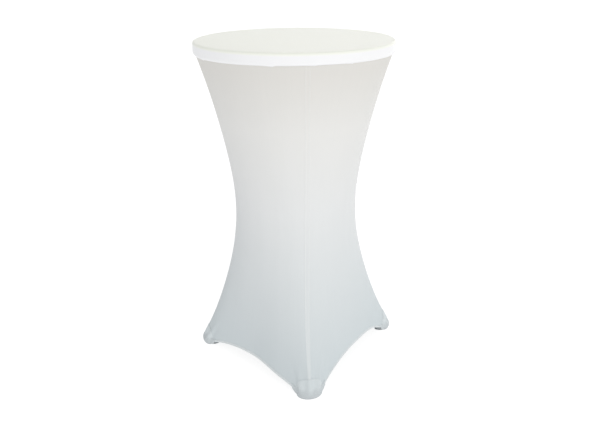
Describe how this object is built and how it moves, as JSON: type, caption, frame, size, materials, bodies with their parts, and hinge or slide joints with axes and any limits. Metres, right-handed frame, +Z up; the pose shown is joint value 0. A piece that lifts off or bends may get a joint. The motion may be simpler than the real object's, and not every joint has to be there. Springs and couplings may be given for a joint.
{
  "type": "covered pedestal table",
  "caption": "Tall round pedestal table dressed in a white stretch cover that narrows to a waist and hooks under each foot in a pocket.",
  "frame": {"origin": "on the floor, on the column's axis", "axes": "+Z up through the column; -Y towards the front foot, +X towards the right foot"},
  "size_m": [0.7354, 0.7354, 1.1],
  "materials": {
    "stretch_cloth": "matt white warp-knit stretch cloth",
    "binding_cloth": "white elastic binding, slightly glossier than the cloth",
    "pocket_cloth": "doubled white cloth, stitched",
    "board": "pale laminate over board, satin",
    "edge_banding": "fine matt",
    "black_casting": "black powder coat over a casting",
    "black_tube": "black powder coat, satin",
    "zinc_steel": "bright zinc plate",
    "glide_plastic": "moulded, matt"
  },
  "bodies": {
    "table_and_cover": {"top_panel": "stretch_cloth", "skirt_panel_front_right": "stretch_cloth", "hem_binding_front_right": "binding_cloth", "skirt_panel_back_right": "stretch_cloth", "hem_binding_back_right": "binding_cloth", "skirt_panel_back_left": "stretch_cloth", "hem_binding_back_left": "binding_cloth", "skirt_panel_front_left": "stretch_cloth", "hem_binding_front_left": "binding_cloth", "rim_seam_tape": "binding_cloth", "seam_tape_front": "binding_cloth", "foot_pocket_front": "pocket_cloth", "board_screw_front": "zinc_steel", "seam_tape_right": "binding_cloth", "foot_pocket_right": "pocket_cloth", "board_screw_right": "zinc_steel", "seam_tape_back": "binding_cloth", "foot_pocket_back": "pocket_cloth", "board_screw_back": "zinc_steel", "seam_tape_left": "binding_cloth", "foot_pocket_left": "pocket_cloth", "board_screw_left": "zinc_steel", "tabletop_board": "board", "board_edge_band": "edge_banding", "top_spider": "black_casting", "pedestal_base": "black_casting", "column_tube": "black_tube", "tie_rod": "zinc_steel", "rod_washer": "zinc_steel", "rod_nut": "zinc_steel"},
    "foot_pad_front": {"glide_pad_front": "glide_plastic", "pocket_sole_front": "pocket_cloth"},
    "foot_stud_front": {"glide_stud_front": "zinc_steel"},
    "foot_pad_right": {"glide_pad_right": "glide_plastic", "pocket_sole_right": "pocket_cloth"},
    "foot_stud_right": {"glide_stud_right": "zinc_steel"},
    "foot_pad_back": {"glide_pad_back": "glide_plastic", "pocket_sole_back": "pocket_cloth"},
    "foot_stud_back": {"glide_stud_back": "zinc_steel"},
    "foot_pad_left": {"glide_pad_left": "glide_plastic", "pocket_sole_left": "pocket_cloth"},
    "foot_stud_left": {"glide_stud_left": "zinc_steel"}
  },
  "joints": [
    {"name": "glide_travel_front", "type": "slide", "parent": "table_and_cover", "child": "foot_pad_front", "axis": [0, 0, -1], "range_m": [0, 0.006]},
    {"name": "glide_turn_front", "type": "hinge", "parent": "foot_pad_front", "child": "foot_stud_front", "pos_m": [0, -0.33, 0.02], "axis": [0, 0, -1], "range_deg": [0, 1725]},
    {"name": "glide_travel_right", "type": "slide", "parent": "table_and_cover", "child": "foot_pad_right", "axis": [0, 0, -1], "range_m": [0, 0.006]},
    {"name": "glide_turn_right", "type": "hinge", "parent": "foot_pad_right", "child": "foot_stud_right", "pos_m": [0.33, 0, 0.02], "axis": [0, 0, -1], "range_deg": [0, 1725]},
    {"name": "glide_travel_back", "type": "slide", "parent": "table_and_cover", "child": "foot_pad_back", "axis": [0, 0, -1], "range_m": [0, 0.006]},
    {"name": "glide_turn_back", "type": "hinge", "parent": "foot_pad_back", "child": "foot_stud_back", "pos_m": [0, 0.33, 0.02], "axis": [0, 0, -1], "range_deg": [0, 1725]},
    {"name": "glide_travel_left", "type": "slide", "parent": "table_and_cover", "child": "foot_pad_left", "axis": [0, 0, -1], "range_m": [0, 0.006]},
    {"name": "glide_turn_left", "type": "hinge", "parent": "foot_pad_left", "child": "foot_stud_left", "pos_m": [-0.33, 0, 0.02], "axis": [0, 0, -1], "range_deg": [0, 1725]}
  ],
  "couplings": [
    {"joint": "glide_travel_front", "follows": "glide_turn_front", "m_per_rad": 0.00019894},
    {"joint": "glide_travel_right", "follows": "glide_turn_right", "m_per_rad": 0.00019894},
    {"joint": "glide_travel_back", "follows": "glide_turn_back", "m_per_rad": 0.00019894},
    {"joint": "glide_travel_left", "follows": "glide_turn_left", "m_per_rad": 0.00019894}
  ]
}
